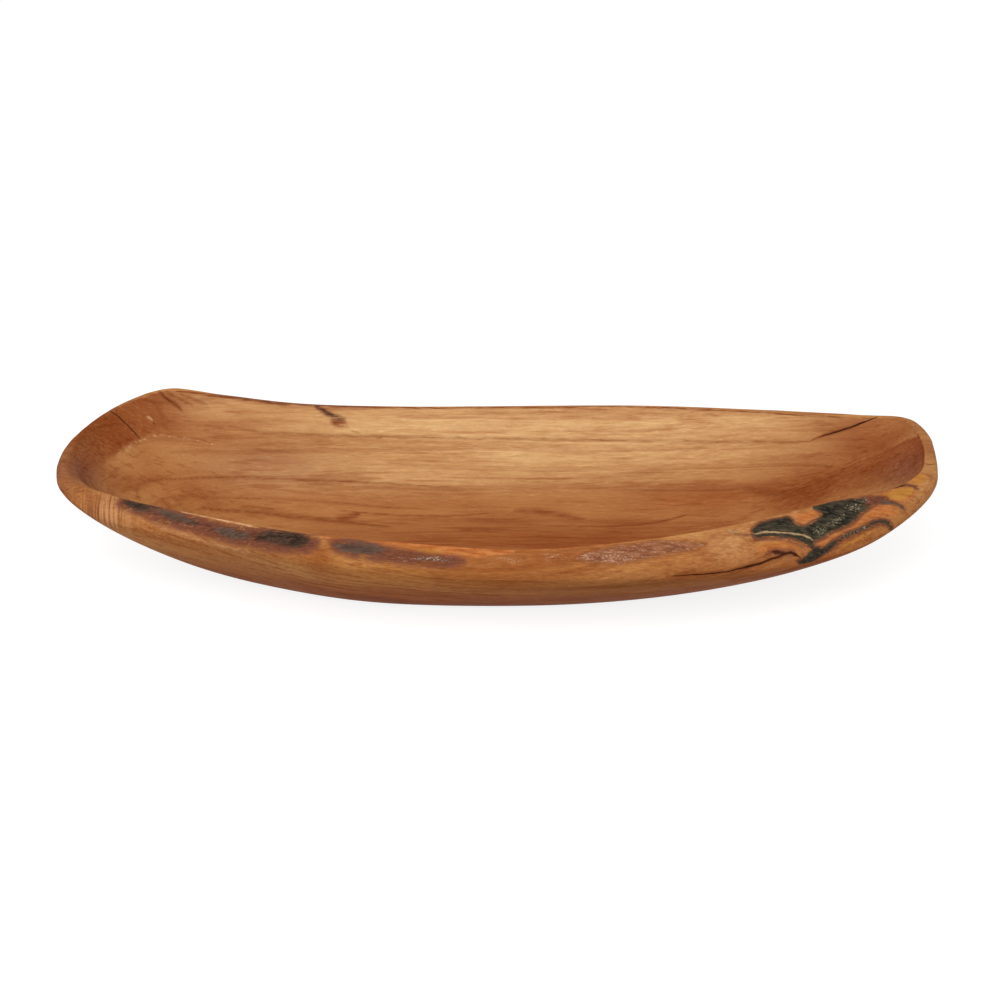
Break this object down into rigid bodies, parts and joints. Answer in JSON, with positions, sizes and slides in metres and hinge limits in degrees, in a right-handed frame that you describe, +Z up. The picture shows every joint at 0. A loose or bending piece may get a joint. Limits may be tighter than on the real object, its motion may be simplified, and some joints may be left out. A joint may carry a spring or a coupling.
{
  "type": "wooden bowl",
  "caption": "Long boat-shaped bowl carved from a split log, with a natural edge and a flat foot.",
  "frame": {"origin": "in the plane of the flat foot, below the middle of the plan", "axes": "+X along the bowl towards its broad right end, +Y towards the straight back side, +Z up"},
  "size_m": [0.4986, 0.1949, 0.0721],
  "materials": {
    "wood": "oiled, satin",
    "grey_bark": "rough bark, worn",
    "brown_bark": "rough bark, worn",
    "pink_bark": "scaly bark, worn",
    "ingrown_bark": "rough, sanded level",
    "knot": "oiled, satin"
  },
  "bodies": {
    "root": {"bowl_body": "wood", "bark_strip_left": "grey_bark", "bark_patch_middle": "brown_bark", "bark_patch_right": "pink_bark", "ingrown_bark": "ingrown_bark", "ingrown_bark_seam": "ingrown_bark", "rim_knot": "knot", "bark_edge_back": "brown_bark"}
  },
  "joints": []
}
